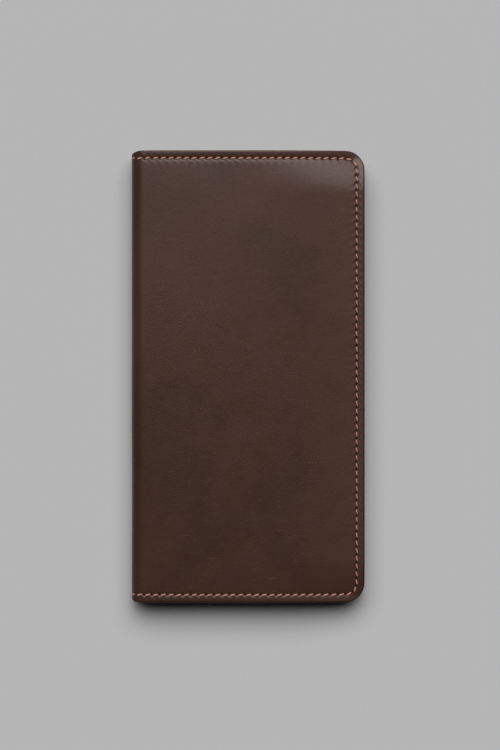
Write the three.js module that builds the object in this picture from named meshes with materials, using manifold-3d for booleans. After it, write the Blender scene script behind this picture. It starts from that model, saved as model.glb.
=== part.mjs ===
// A long leather wallet that opens like a book, closed and lying on its back cover.
// +X runs from the spine to the opening edge, +Y from the foot to the head, +Z up out of the front cover.
// The origin is under the middle of the closed wallet, on the surface that it lies on. Units are millimetres.
//
// One strip of cover leather is the back cover, the spine and the front cover. It is split at its two folds.
// Each half is built lying on the outer face of its own cover, and the front half is then turned over on top.

import * as THREE from "three";
import { mergeVertices } from "three/addons/utils/BufferGeometryUtils.js";
import Module from "manifold-3d";

// ---- Outside sizes ----
const length = 190; // head to foot
const width = 98; // closed, spine to opening edge
const cornerRadius = 8; // the two corners at the opening edge
const spineTrim = 1.6; // how much shorter the spine is at the head and at the foot, so it folds cleanly
const bendRadius = 5; // outside of each of the spine's two bends
const foldGap = 0.6; // between a cover and the bend that turns against it

// ---- Sheet materials ----
const coverLeather = 1.6;
const innerLeather = 0.8;
const pocketLeather = 0.7;
const liningCloth = 0.4;
const bondGap = 0.1; // between two layers that are glued or sewn face to face

// ---- Pockets ----
const billSlot = 0.4; // the flat slot behind each inner page
const innerPageInset = 6.5; // from the spine's outer face to an inner page's free edge
const slipPocketInset = 35; // the same for the slip pocket's mouth
const slipGap = 0.15;
const rimWidth = 2; // the turned-down edge that closes the coin pocket
const pocketCount = 6; // card pockets
const pocketPitch = 14; // from one card pocket's mouth to the next
const pocketDepth = 48; // from a card pocket's mouth to its bottom
const pocketSlot = 0.25; // the flat slot in each card pocket
const firstMouthInset = 24; // from the head edge to the first card pocket's mouth
const pageClearance = 0.35; // between the two halves when the wallet is closed

// ---- Sewing ----
const seamInset = 3.3; // from the edge to the middle of a seam
const threadWidth = 0.7;
const threadDepth = 0.5;
const grooveSide = 0.2; // room beside the thread in its groove
const grooveFloor = 0.1; // room under it

// ---- Zip ----
const zipInset = 19; // from the spine's outer face to the middle of the zip
const zipWindow = 10; // between the two leather edges beside the zip
const zipEndInset = 12; // from the head and foot edges to the ends of the chain
const tapeCloth = 0.4;
const toothPitch = 2.4; // between two teeth of one row
const toothLength = 0.9; // along the zip
const toothReach = 0.8; // past the middle of the zip
const chainHalf = 2.3; // from the middle of the zip to the outside of a row
const beadInner = 1.05; // from the middle of the zip to the bead that the teeth are clamped on
const chainHeight = 1.8;
const sliderLength = 8.5;
const sliderHalf = 3.25;
const sliderPlate = 0.7;
const sliderRoom = 0.1; // between the slider's plates and the chain
const sliderUnder = 0.1; // under the slider, inside the empty coin pocket
const flangeWidth = 0.6;
const flangeGap = 0.35; // between the slider's turned-in sides and the tape
const wedgeLength = 2.6;
const wedgeHalf = 0.9;
const stopLength = 2.4;
const stopGap = 0.5;
const bridgeHalf = 2.6; // half the length of the slider's bridge
const bridgeWidth = 1;
const bridgeThick = 0.5;
const bridgeLeg = 0.8;
const pullThick = 0.6;
const pullGap = 0.1; // above and below the pull where it passes under the bridge
const pullWidth = 4.4;
const pullLength = 20;
const pullEyeLength = 3;
const pullEyeWidth = 3;
const pullBarHalf = 0.6;
const pullHoleRadius = 1;

// ---- Places that follow from the sizes ----
const spineX = -width / 2;
const edgeX = width / 2;
const bendX = spineX + bendRadius;
const coverX = bendX + foldGap;
const pageX = spineX + innerPageInset;
const slipX = spineX + slipPocketInset;
const zipX = spineX + zipInset;
const headY = length / 2;

// Each zip tape runs from the chain out to the turned-down edge beside it.
const tapeX = chainHalf + bondGap;
const tapeWidth = zipX - tapeX - (pageX + rimWidth) - bondGap;

// Heights above a half's own outer face.
const liningZ = coverLeather + bondGap;
const pageZ = liningZ + liningCloth + billSlot;
const pageTopZ = pageZ + innerLeather;
const channelHalf = chainHeight / 2 + sliderRoom;
const chainZ = pageTopZ + sliderUnder + sliderPlate + channelHalf;
const tapeZ = chainZ - tapeCloth / 2;
const flangeDrop = channelHalf - tapeCloth / 2 - flangeGap;
const coinPanelZ = tapeZ + tapeCloth + bondGap;
const coinPanelTopZ = coinPanelZ + innerLeather;
const slipZ = coinPanelTopZ + slipGap;
const sliderTopZ = chainZ + channelHalf + sliderPlate;
const pullZ = sliderTopZ + pullGap;
const bridgeZ = pullZ + pullThick + pullGap;
const backHalfZ = Math.max(slipZ + innerLeather, bridgeZ + bridgeThick);

// The card pockets lie on each other like roof tiles, all at this slope.
const tileSlope = Math.asin((pocketLeather + pocketSlot) / pocketPitch);
const tileZ = pageTopZ + pocketSlot;
const frontHalfZ = tileZ + pocketDepth * Math.sin(tileSlope) + pocketLeather * Math.cos(tileSlope);

const thickness = backHalfZ + pageClearance + frontHalfZ;

// ---- Materials ----
const leatherMaterial = (color) => new THREE.MeshStandardMaterial({ color, roughness: 0.55 });
const clothMaterial = (color) => new THREE.MeshStandardMaterial({ color, roughness: 0.95 });
const coverFinish = leatherMaterial(0x46342c);
const innerFinish = leatherMaterial(0x523a30);
const liningFinish = clothMaterial(0x2e2420);
const tapeFinish = clothMaterial(0x2a211d);
const threadFinish = clothMaterial(0xa8705a);
const metalFinish = new THREE.MeshStandardMaterial({ color: 0xa08850, roughness: 0.35, metalness: 1 });

// ---- Solids ----
const wasm = await Module();
wasm.setup();

function toSolid(geometry) {
  const bare = geometry.clone();
  bare.deleteAttribute("normal");
  bare.deleteAttribute("uv");
  const merged = mergeVertices(bare, 1e-4);
  return new wasm.Manifold(
    new wasm.Mesh({
      numProp: 3,
      vertProperties: merged.attributes.position.array,
      triVerts: new Uint32Array(merged.index.array),
    }),
  );
}

function toGeometry(solid) {
  const mesh = solid.getMesh();
  const geometry = new THREE.BufferGeometry();
  geometry.setAttribute("position", new THREE.BufferAttribute(mesh.vertProperties, 3));
  geometry.setIndex(new THREE.BufferAttribute(mesh.triVerts, 1));
  return geometry;
}

const cut = (geometry, tool) => toGeometry(toSolid(geometry).subtract(toSolid(tool)));

const trimmed = (geometry, outline) => toGeometry(toSolid(geometry).intersect(toSolid(outline)));

const joined = (...geometries) => toGeometry(geometries.map(toSolid).reduce((all, next) => all.add(next)));

// A shape drawn in X and Y, raised from z by height.
function raised(shape, z, height) {
  const geometry = new THREE.ExtrudeGeometry(shape, { depth: height, bevelEnabled: false, curveSegments: 8 });
  return geometry.translate(0, 0, z);
}

// A shape drawn in X and Z, run along Y with its middle at y.
function alongY(shape, run, y = 0) {
  const geometry = new THREE.ExtrudeGeometry(shape, { depth: run, bevelEnabled: false, curveSegments: 8 });
  return geometry.rotateX(Math.PI / 2).translate(0, y + run / 2, 0);
}

// A shape drawn in Y and Z, run along X from x.
function alongX(shape, run, x) {
  const geometry = new THREE.ExtrudeGeometry(shape, { depth: run, bevelEnabled: false });
  return geometry.rotateY(Math.PI / 2).rotateX(Math.PI / 2).translate(x, 0, 0);
}

function block(x0, x1, y0, y1, z0, z1) {
  const geometry = new THREE.BoxGeometry(x1 - x0, y1 - y0, z1 - z0);
  return geometry.translate((x0 + x1) / 2, (y0 + y1) / 2, (z0 + z1) / 2);
}

function part(group, name, geometry, material) {
  const mesh = new THREE.Mesh(geometry, material);
  mesh.name = name;
  group.add(mesh);
  return mesh;
}

// ---- Outlines ----

// The outline of a layer that reaches the head, opening and foot edges: inset from them all, from startX outwards.
function pageShape(startX, inset = 0, spineCorner = 0) {
  const top = headY - inset;
  const right = edgeX - inset;
  const radius = Math.max(cornerRadius - inset, 0.5);
  const shape = new THREE.Shape();
  shape.moveTo(startX, -top + spineCorner);
  if (spineCorner) shape.absarc(startX + spineCorner, -top + spineCorner, spineCorner, Math.PI, 1.5 * Math.PI);
  shape.lineTo(right - radius, -top);
  shape.absarc(right - radius, -top + radius, radius, -Math.PI / 2, 0);
  shape.lineTo(right, top - radius);
  shape.absarc(right - radius, top - radius, radius, 0, Math.PI / 2);
  shape.lineTo(startX + spineCorner, top);
  if (spineCorner) shape.absarc(startX + spineCorner, top - spineCorner, spineCorner, Math.PI / 2, Math.PI);
  shape.closePath();
  return shape;
}

// A band of the given width round the head, opening and foot edges, with its middle at the given inset.
function edgeBand(startX, inset, bandWidth, z, height) {
  const outer = raised(pageShape(startX, inset - bandWidth / 2), z, height);
  const over = 1;
  const inner = pageShape(startX - over, inset + bandWidth / 2);
  return cut(outer, raised(inner, z - over, height + 2 * over));
}

// The spine's section: up one bend, the flat and the other bend, with its outer face at the given depth in.
function spineShape(depth, thick) {
  const outer = bendRadius - depth;
  const inner = outer - thick;
  const low = bendRadius;
  const high = thickness - bendRadius;
  const shape = new THREE.Shape();
  shape.moveTo(bendX, low - outer);
  shape.absarc(bendX, low, outer, 1.5 * Math.PI, Math.PI, true);
  shape.lineTo(bendX - outer, high);
  shape.absarc(bendX, high, outer, Math.PI, Math.PI / 2, true);
  shape.lineTo(bendX, high + inner);
  shape.absarc(bendX, high, inner, Math.PI / 2, Math.PI);
  shape.lineTo(bendX - inner, low);
  shape.absarc(bendX, low, inner, Math.PI, 1.5 * Math.PI);
  shape.closePath();
  return shape;
}

// ---- Layers that both halves have ----

// A cover with the seam's groove in its outer face, its lining, and the thread in the groove.
function addCover(group, half) {
  const leather = raised(pageShape(coverX, 0, spineTrim), 0, coverLeather);
  const over = 1;
  const grooveWidth = threadWidth + 2 * grooveSide;
  const groove = edgeBand(coverX - over, seamInset, grooveWidth, -over, over + threadDepth + grooveFloor);
  part(group, half + "_cover", cut(leather, groove), coverFinish);
  part(group, half + "_lining", raised(pageShape(coverX, 0, spineTrim), liningZ, liningCloth), liningFinish);
  part(group, half + "_seam_thread", edgeBand(coverX, seamInset, threadWidth, 0, threadDepth), threadFinish);
}

// The inner page that makes the bill pocket: sewn on three sides, free along the spine.
function addInnerPage(group, name) {
  part(group, name, raised(pageShape(pageX), pageZ, innerLeather), innerFinish);
}

// ---- Coin pocket, on the back half ----

// A leather panel beside the zip, with its outer edges turned down to the page under it.
function coinPanel(shape, innerShape) {
  const over = 1;
  const rimZ = pageTopZ + bondGap;
  const rim = cut(
    raised(shape, rimZ, coinPanelTopZ - rimZ),
    raised(innerShape, rimZ - over, coinPanelZ - rimZ + over),
  );
  return rim;
}

function rectangle(x0, x1, y0, y1) {
  const shape = new THREE.Shape();
  shape.moveTo(x0, y0);
  shape.lineTo(x1, y0);
  shape.lineTo(x1, y1);
  shape.lineTo(x0, y1);
  shape.closePath();
  return shape;
}

// A straight thread along the zip, and the groove that it lies in.
function zipThread(x, width, z, height) {
  return block(x - width / 2, x + width / 2, -headY + seamInset, headY - seamInset, z, z + height);
}

function addCoinPocket(group) {
  const over = 1;
  const panelX = zipX + zipWindow / 2;
  const stripX = zipX - zipWindow / 2;
  const threadZ = coinPanelTopZ - threadDepth;
  const grooveWidth = threadWidth + 2 * grooveSide;
  const panel = coinPanel(pageShape(panelX), pageShape(panelX - over, rimWidth));
  const strip = coinPanel(
    rectangle(pageX, stripX, -headY, headY),
    rectangle(pageX + rimWidth, stripX + over, -headY + rimWidth, headY - rimWidth),
  );
  const seamFromZip = zipWindow / 2 + seamInset / 2;
  const sides = [
    ["coin_pocket_strip", strip, "zip_seam_thread_spine_side", zipX - seamFromZip],
    ["coin_pocket_panel", panel, "zip_seam_thread_edge_side", zipX + seamFromZip],
  ];
  for (const [panelName, leather, threadName, x] of sides) {
    const groove = zipThread(x, grooveWidth, threadZ - grooveFloor, threadDepth + grooveFloor + over);
    part(group, panelName, cut(leather, groove), innerFinish);
    part(group, threadName, zipThread(x, threadWidth, threadZ, threadDepth), threadFinish);
  }
  part(group, "slip_pocket_panel", raised(pageShape(slipX), slipZ, innerLeather), innerFinish);
}

// ---- Zip ----

const chainFootY = -headY + zipEndInset;
const sliderRestY = headY - zipEndInset - sliderLength / 2;
const chainHeadY = sliderRestY + sliderLength / 2 - wedgeLength - stopGap;

// One row of teeth on its bead. side is +1 or -1, and the two rows are half a pitch apart.
function toothRow(side) {
  const offset = side > 0 ? toothPitch / 2 : 0;
  const count = Math.floor((chainHeadY - chainFootY - offset) / toothPitch);
  const shape = new THREE.Shape();
  shape.moveTo(side * chainHalf, chainFootY);
  shape.lineTo(side * beadInner, chainFootY);
  for (let i = 0; i < count; i++) {
    const y = chainFootY + offset + i * toothPitch + (toothPitch - toothLength) / 2;
    shape.lineTo(side * beadInner, y);
    shape.lineTo(-side * toothReach, y);
    shape.lineTo(-side * toothReach, y + toothLength);
    shape.lineTo(side * beadInner, y + toothLength);
  }
  shape.lineTo(side * beadInner, chainHeadY);
  shape.lineTo(side * chainHalf, chainHeadY);
  shape.closePath();
  return raised(shape, chainZ - chainHeight / 2, chainHeight);
}

function addZip(group) {
  const tapeEndY = headY - rimWidth - stopGap;
  const low = chainZ - chainHeight / 2;
  const high = chainZ + chainHeight / 2;
  for (const [name, side] of [["spine_side", -1], ["edge_side", 1]]) {
    const near = zipX + side * tapeX;
    const far = zipX + side * (tapeX + tapeWidth);
    const x0 = Math.min(near, far);
    const x1 = Math.max(near, far);
    part(group, "zip_tape_" + name, block(x0, x1, -tapeEndY, tapeEndY, tapeZ, tapeZ + tapeCloth), tapeFinish);
    part(group, "zip_teeth_" + name, toothRow(side).translate(zipX, 0, 0), metalFinish);
    const stopX = [zipX + side * stopGap, zipX + side * chainHalf].sort((a, b) => a - b);
    const stopY = sliderRestY + sliderLength / 2 + stopGap;
    part(group, "zip_top_stop_" + name, block(...stopX, stopY, stopY + stopLength, low, high), metalFinish);
  }
  const bottomY = chainFootY - bondGap;
  const bottom = block(zipX - chainHalf, zipX + chainHalf, bottomY - stopLength, bottomY, low, high);
  part(group, "zip_bottom_stop", bottom, metalFinish);
}

// The slider: two plates with turned-in sides, a wedge between them at the head end, and a bridge on top.
function sliderGeometry() {
  const half = sliderLength / 2;
  const pieces = [];
  for (const side of [-1, 1]) {
    const inner = side * channelHalf;
    const outer = side * (channelHalf + sliderPlate);
    const lip = side * (channelHalf - flangeDrop);
    const plate = [Math.min(inner, outer), Math.max(inner, outer)];
    const flange = [Math.min(lip, outer), Math.max(lip, outer)];
    pieces.push(block(-sliderHalf, sliderHalf, -half, half, ...plate));
    pieces.push(block(-sliderHalf, -sliderHalf + flangeWidth, -half, half, ...flange));
    pieces.push(block(sliderHalf - flangeWidth, sliderHalf, -half, half, ...flange));
  }
  const core = channelHalf + sliderPlate / 2;
  pieces.push(block(-wedgeHalf, wedgeHalf, half - wedgeLength, half, -core, core));
  const plateTop = channelHalf + sliderPlate;
  const bridgeBase = bridgeZ - chainZ;
  const bridgeTop = bridgeBase + bridgeThick;
  const legBase = plateTop - sliderPlate / 2;
  const halfBridge = bridgeWidth / 2;
  pieces.push(block(-halfBridge, halfBridge, -bridgeHalf, bridgeHalf, bridgeBase, bridgeTop));
  pieces.push(block(-halfBridge, halfBridge, -bridgeHalf, -bridgeHalf + bridgeLeg, legBase, bridgeTop));
  pieces.push(block(-halfBridge, halfBridge, bridgeHalf - bridgeLeg, bridgeHalf, legBase, bridgeTop));
  return joined(...pieces);
}

// The pull lies towards the foot, with the bar of its eye under the bridge.
function pullGeometry() {
  const half = pullWidth / 2;
  const shape = new THREE.Shape();
  shape.moveTo(-half, pullBarHalf);
  shape.lineTo(-half, -pullLength + half);
  shape.absarc(0, -pullLength + half, half, Math.PI, 2 * Math.PI);
  shape.lineTo(half, pullBarHalf);
  shape.closePath();
  const eyeHalf = pullEyeWidth / 2;
  shape.holes.push(rectangle(-eyeHalf, eyeHalf, -pullBarHalf - pullEyeLength, -pullBarHalf));
  const hole = new THREE.Path();
  hole.absarc(0, -pullLength + half, pullHoleRadius, 0, 2 * Math.PI);
  shape.holes.push(hole);
  return raised(shape, 0, pullThick);
}

function addSlider(group) {
  const slider = new THREE.Group();
  slider.position.set(zipX, sliderRestY, 0);
  part(slider, "zip_slider", sliderGeometry(), metalFinish).position.z = chainZ;
  part(slider, "zip_pull", pullGeometry(), metalFinish).position.z = pullZ;
  group.add(slider);
}

// ---- Card pockets, on the front half ----

// A card pocket is a tile: its mouth is its high end. This half is turned over head to foot, so its head is at -Y.
function addCardPockets(group) {
  const outline = raised(pageShape(pageX - 1), 0, thickness);
  const firstMouthY = -headY + firstMouthInset;
  const rise = Math.sin(tileSlope);
  const thick = pocketLeather / Math.cos(tileSlope);
  for (let i = 0; i < pocketCount; i++) {
    const mouthY = firstMouthY + i * pocketPitch;
    const bottomY = mouthY + pocketDepth * Math.cos(tileSlope);
    const mouthZ = tileZ + pocketDepth * rise;
    const shape = new THREE.Shape();
    shape.moveTo(mouthY, mouthZ);
    shape.lineTo(bottomY, tileZ);
    const isLast = i === pocketCount - 1;
    if (isLast) {
      shape.lineTo(headY - rimWidth, tileZ);
      shape.lineTo(headY - rimWidth, tileZ + thick);
    }
    shape.lineTo(bottomY, tileZ + thick);
    shape.lineTo(mouthY, mouthZ + thick);
    shape.closePath();
    const tile = trimmed(alongX(shape, edgeX - pageX, pageX), outline);
    part(group, "card_pocket_" + (i + 1), tile, innerFinish);
  }
}

// ---- Spine ----

function addSpine(group) {
  const run = length - 2 * spineTrim;
  const over = 1;
  const grooveWidth = threadWidth + 2 * grooveSide;
  const grooveShape = spineShape(-over, over + threadDepth + grooveFloor);
  let leather = alongY(spineShape(0, coverLeather), run);
  for (const [name, side] of [["head", 1], ["foot", -1]]) {
    const y = side * (headY - seamInset);
    leather = cut(leather, alongY(grooveShape, grooveWidth, y));
    part(group, "spine_seam_thread_" + name, alongY(spineShape(0, threadDepth), threadWidth, y), threadFinish);
  }
  part(group, "spine_cover", leather, coverFinish);
  part(group, "spine_lining", alongY(spineShape(liningZ, liningCloth), run), liningFinish);
}

// ---- The wallet ----

const wallet = new THREE.Group();

const backHalf = new THREE.Group();
addCover(backHalf, "back");
addInnerPage(backHalf, "coin_page");
addCoinPocket(backHalf);
addZip(backHalf);
addSlider(backHalf);

const frontHalf = new THREE.Group();
addCover(frontHalf, "front");
addInnerPage(frontHalf, "card_page");
addCardPockets(frontHalf);
frontHalf.rotation.x = Math.PI;
frontHalf.position.z = thickness;

wallet.add(backHalf, frontHalf);
addSpine(wallet);

export default wallet;
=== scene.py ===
"""A long leather wallet that opens like a book: waxed covers, saddle-stitched edges, card and coin pockets.

Lengths are in metres. +X runs from the spine to the opening edge, +Y from the foot to the head, +Z up.
A half's layers are worked out as heights above the outer face of that half's own cover.
"""

import math

import bmesh
import bpy
import numpy as np
from bpy.props import FloatProperty, FloatVectorProperty, IntProperty, PointerProperty
from bpy.types import Operator, Panel, PropertyGroup
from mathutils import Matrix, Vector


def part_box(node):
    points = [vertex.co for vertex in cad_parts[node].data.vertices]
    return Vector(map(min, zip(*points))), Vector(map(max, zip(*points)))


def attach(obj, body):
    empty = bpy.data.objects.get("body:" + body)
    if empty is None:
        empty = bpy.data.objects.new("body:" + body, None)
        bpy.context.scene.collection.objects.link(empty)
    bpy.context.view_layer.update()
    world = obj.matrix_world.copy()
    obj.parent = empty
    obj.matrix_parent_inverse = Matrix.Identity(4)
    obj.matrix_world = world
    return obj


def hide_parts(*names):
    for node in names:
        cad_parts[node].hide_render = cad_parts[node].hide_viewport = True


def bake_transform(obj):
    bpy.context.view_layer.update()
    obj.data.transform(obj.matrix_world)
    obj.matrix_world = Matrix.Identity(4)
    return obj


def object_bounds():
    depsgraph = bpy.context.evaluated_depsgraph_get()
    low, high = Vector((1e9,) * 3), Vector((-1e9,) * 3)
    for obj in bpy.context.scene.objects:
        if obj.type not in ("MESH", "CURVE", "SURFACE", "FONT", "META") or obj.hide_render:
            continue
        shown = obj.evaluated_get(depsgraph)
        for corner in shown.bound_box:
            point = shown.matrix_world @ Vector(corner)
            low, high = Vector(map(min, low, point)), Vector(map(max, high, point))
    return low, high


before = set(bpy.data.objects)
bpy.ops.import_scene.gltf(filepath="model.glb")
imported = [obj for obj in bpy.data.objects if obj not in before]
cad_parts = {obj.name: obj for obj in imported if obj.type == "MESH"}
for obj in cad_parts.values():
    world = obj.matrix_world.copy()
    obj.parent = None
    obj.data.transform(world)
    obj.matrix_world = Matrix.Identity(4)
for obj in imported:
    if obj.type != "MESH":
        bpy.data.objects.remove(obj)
CAD_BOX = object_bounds()

bl_info = {
    "name": "Long Wallet",
    "version": (1, 0, 0),
    "blender": (4, 5, 0),
    "location": "View3D > Sidebar > Wallet",
    "description": "Builds the leather, cloth, thread and metal of a long wallet round its frame",
    "category": "Object",
}

MM = 0.001

# ---- Places and sizes that the frame gives ----

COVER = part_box("front_cover")
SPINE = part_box("spine_cover")
COIN_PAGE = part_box("coin_page")
CARD_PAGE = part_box("card_page")
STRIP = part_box("coin_pocket_strip")
COIN_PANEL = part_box("coin_pocket_panel")
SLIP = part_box("slip_pocket_panel")
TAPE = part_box("zip_tape_edge_side")
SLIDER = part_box("zip_slider")
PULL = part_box("zip_pull")
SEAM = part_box("front_seam_thread")

THICKNESS = SPINE[1].z
EDGE_X = COVER[1].x
HEAD_Y = COVER[1].y
SPINE_X = SPINE[0].x
BEND_X = SPINE[1].x
BEND = BEND_X - SPINE_X
SPINE_TRIM = HEAD_Y - SPINE[1].y
COVER_THICK = COVER[1].z - COVER[0].z
SEAM_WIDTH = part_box("spine_seam_thread_head")[1].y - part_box("spine_seam_thread_head")[0].y
SEAM_INSET = HEAD_Y - SEAM[1].y + SEAM_WIDTH / 2
PAGE_X = COIN_PAGE[0].x
PAGE_THICK = COIN_PAGE[1].z - COIN_PAGE[0].z
ZIP_X = (SLIDER[0].x + SLIDER[1].x) / 2
ZIP_Z = (TAPE[0].z + TAPE[1].z) / 2
POCKET_COUNT = sum(name.startswith("card_pocket_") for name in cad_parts)
POCKETS = [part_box(f"card_pocket_{i + 1}") for i in range(POCKET_COUNT)]

# The cover leather bends about the middle of its thickness.
BEND_MIDDLE = BEND - COVER_THICK / 2
BEND_LENGTH = BEND_MIDDLE * math.pi / 2
JOIN_X = BEND_X - BEND_LENGTH - (THICKNESS / 2 - BEND)


# ---- Settings ----


def length_setting(name, description, default, low, high):
    return FloatProperty(
        name=name, description=description, default=default, min=low, max=high,
        subtype="DISTANCE", unit="LENGTH",
    )


def angle_setting(name, description, degrees, most):
    return FloatProperty(
        name=name, description=description, default=math.radians(degrees), min=0, max=math.radians(most),
        subtype="ANGLE", unit="ROTATION",
    )


def level_setting(name, description, default):
    return FloatProperty(name=name, description=description, default=default, min=0)


def colour_setting(name, description, default):
    return FloatVectorProperty(
        name=name, description=description, default=default, min=0, max=1, size=3, subtype="COLOR",
    )


class WalletLeatherSettings(PropertyGroup):
    """Shape and colour of the leather"""

    corner_radius: length_setting(
        "Corner radius", "Radius of the two corners at the opening edge", 8 * MM, 2 * MM, 20 * MM,
    )
    edge_round: length_setting(
        "Edge rounding", "Radius of the burnished edge of the covers", 0.55 * MM, 0.1 * MM, 0.75 * MM,
    )
    droop: length_setting(
        "Droop", "How far the front cover's opening edge hangs below its middle", 2.0 * MM, 0, 3 * MM,
    )
    lift: length_setting(
        "Lift", "How far the back cover's opening edge curls up from the floor", 1.0 * MM, 0, 2 * MM,
    )
    cover_tone: colour_setting("Cover colour", "Tone of the waxed cover leather", (0.051, 0.0242, 0.0165))
    inner_tone: colour_setting("Inner colour", "Tone of the thinner leather inside", (0.062, 0.031, 0.021))
    cloth_tone: colour_setting("Lining colour", "Tone of the woven lining", (0.034, 0.022, 0.017))


class WalletSeamSettings(PropertyGroup):
    """The sewing"""

    pitch: length_setting("Stitch pitch", "From one stitch hole to the next", 3.27 * MM, 2 * MM, 6 * MM)
    thread: length_setting("Thread diameter", "Diameter of the twisted thread", 0.62 * MM, 0.3 * MM, 1.2 * MM)
    slant: angle_setting("Slant", "Turn of each stitch out of the line of the seam", 15, 40)
    plies: IntProperty(name="Plies", description="Strands twisted into the thread", default=3, min=2, max=6)
    tone: colour_setting("Thread colour", "Colour of the waxed thread", (0.58, 0.27, 0.205))


class WalletZipSettings(PropertyGroup):
    """The zip of the coin pocket"""

    tooth_pitch: length_setting("Tooth pitch", "Between two teeth of one row", 2.4 * MM, 1 * MM, 4 * MM)
    tooth_length: length_setting("Tooth length", "Length of a tooth", 0.95 * MM, 0.3 * MM, 2 * MM)
    metal_tone: colour_setting("Metal colour", "Colour of the antique brass", (0.5, 0.36, 0.16))
    tape_tone: colour_setting("Tape colour", "Colour of the woven tape", (0.026, 0.017, 0.013))


class WalletStageSettings(PropertyGroup):
    """Camera, floor and light"""

    camera_height: length_setting("Camera height", "Height of the camera above the front cover", 1.1, 0.3, 5)
    view_length: length_setting(
        "View length", "Length, head to foot, that the view takes in at the front cover", 0.3146, 0.2, 1,
    )
    light_strength: level_setting("Light strength", "Strength of each soft light", 1.705)
    light_spread: angle_setting("Light spread", "Angle that each light fills, from the wallet", 46, 120)
    light_tilt: angle_setting("Light tilt", "Lean of the lights from upright to the head", 33.4, 80)
    light_turn: angle_setting("Light turn", "Turn of the two lights, one to each side", 20, 90)
    fill: level_setting("Fill", "Strength of the even light from all round", 0.02)
    backdrop: level_setting("Backdrop", "Brightness seen behind the floor", 0.46)
    floor_tone: colour_setting("Floor colour", "Colour of the plain pale floor", (0.5, 0.5, 0.5))


# ---- Numbers on arrays ----


def smooth(t):
    t = np.clip(t, 0, 1)
    return t * t * (3 - 2 * t)


def falling(t):
    """1 at t = 0, curving down to 0 at t = 1 and staying there."""
    return (1 - np.clip(t, 0, 1)) ** 2


def bump(distance, width):
    return np.exp(-((distance / width) ** 2))


# ---- The wallet's outline and seam, on the leather laid flat ----


SQUARE_CORNER = 0.03 * MM


class Outline:
    """A rounded rectangle with stops along its sides.

    The sides go foot, edge, head, spine, and the corners start at the foot's spine end. shares says how much
    of an inset each side takes. fine is the number of steps that the outline has between two stops.
    """

    CORNER_STEPS = 8

    def __init__(self, low, high, radii, spacing, fine, shares=(1, 1, 1, 1), stops_x=None):
        self.low, self.high, self.radii, self.shares, self.fine = low, high, radii, shares, fine
        count_x = max(2, round((high[0] - low[0]) / spacing))
        count_y = max(2, round((high[1] - low[1]) / spacing))
        self.u = np.linspace(0, 1, count_x + 1) if stops_x is None else stops_x
        self.v = np.linspace(0, 1, count_y + 1)

    def between(self, stops):
        """Each step between two stops cut into self.fine equal steps."""
        at = np.arange(len(stops))
        return np.interp(np.linspace(0, len(stops) - 1, (len(stops) - 1) * self.fine + 1), at, stops)

    def inset_box(self, inset):
        foot, edge, head, spine = (inset * share for share in self.shares)
        return self.low[0] + spine, self.high[0] - edge, self.low[1] + foot, self.high[1] - head

    def ring(self, inset):
        """The outline moved in by inset, as points that go round anticlockwise from the foot's spine end."""
        x0, x1, y0, y1 = self.inset_box(inset)
        smallest = SQUARE_CORNER + 0.02 * inset
        r = [max(radius - inset, smallest) for radius in self.radii]
        u, v = self.between(self.u), self.between(self.v)
        turn = np.linspace(0, math.pi / 2, self.CORNER_STEPS + 1)[1:-1]

        def corner(x, y, radius, start):
            return np.column_stack((x + radius * np.cos(start + turn), y + radius * np.sin(start + turn)))

        def side(values, other, along_x):
            columns = (values, np.full(len(values), other))
            return np.column_stack(columns if along_x else columns[::-1])

        return np.vstack((
            side(x0 + r[0] + u * (x1 - r[1] - x0 - r[0]), y0, True),
            corner(x1 - r[1], y0 + r[1], r[1], -math.pi / 2),
            side(y0 + r[1] + v * (y1 - r[2] - y0 - r[1]), x1, False),
            corner(x1 - r[2], y1 - r[2], r[2], 0),
            side((x0 + r[3] + u * (x1 - r[2] - x0 - r[3]))[::-1], y1, True),
            corner(x0 + r[3], y1 - r[3], r[3], math.pi / 2),
            side((y0 + r[0] + v * (y1 - r[3] - y0 - r[0]))[::-1], x0, False),
            corner(x0 + r[0], y0 + r[0], r[0], math.pi),
        ))

    def grid(self, inset):
        x0, x1, y0, y1 = self.inset_box(inset)
        across, along = np.meshgrid(x0 + self.u * (x1 - x0), y0 + self.v * (y1 - y0), indexing="ij")
        return np.column_stack((across.ravel(), along.ravel()))

    def grid_faces(self, first):
        nx, ny = len(self.u), len(self.v)
        at = first + np.arange(nx * ny).reshape(nx, ny)
        quads = np.stack((at[:-1, :-1], at[1:, :-1], at[1:, 1:], at[:-1, 1:]), axis=-1)
        return quads.reshape(-1, 4).tolist()

    def joining_faces(self, ring_first, grid_first):
        """Faces between the finely stepped ring and the border of the grid inside it."""
        nx, ny, fine, steps = len(self.u), len(self.v), self.fine, self.CORNER_STEPS
        at = grid_first + np.arange(nx * ny).reshape(nx, ny)
        borders = [at[:, 0], at[-1, :], at[::-1, -1], at[0, ::-1]]
        total = 2 * ((nx - 1) * fine + (ny - 1) * fine + 2) + 4 * (steps - 1)
        faces, here = [], 0
        for border in borders:
            for k in range(len(border) - 1):
                start = here + k * fine
                ring = [ring_first + start + j for j in range(fine + 1)]
                faces.append(ring + [int(border[k + 1]), int(border[k])])
            here += (len(border) - 1) * fine
            corner = [ring_first + (here + j) % total for j in range(steps + 1)]
            faces.append(corner + [int(border[-1])])
            here += steps
        return faces


def rim_distance(x, y, radius):
    """Distance in from the head, opening and foot edges, with their rounded corners."""
    across = x - (EDGE_X - radius)
    along = np.abs(y) - (HEAD_Y - radius)
    outside = np.hypot(np.maximum(across, 0), np.maximum(along, 0))
    return radius - outside - np.minimum(np.maximum(across, along), 0)


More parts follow.
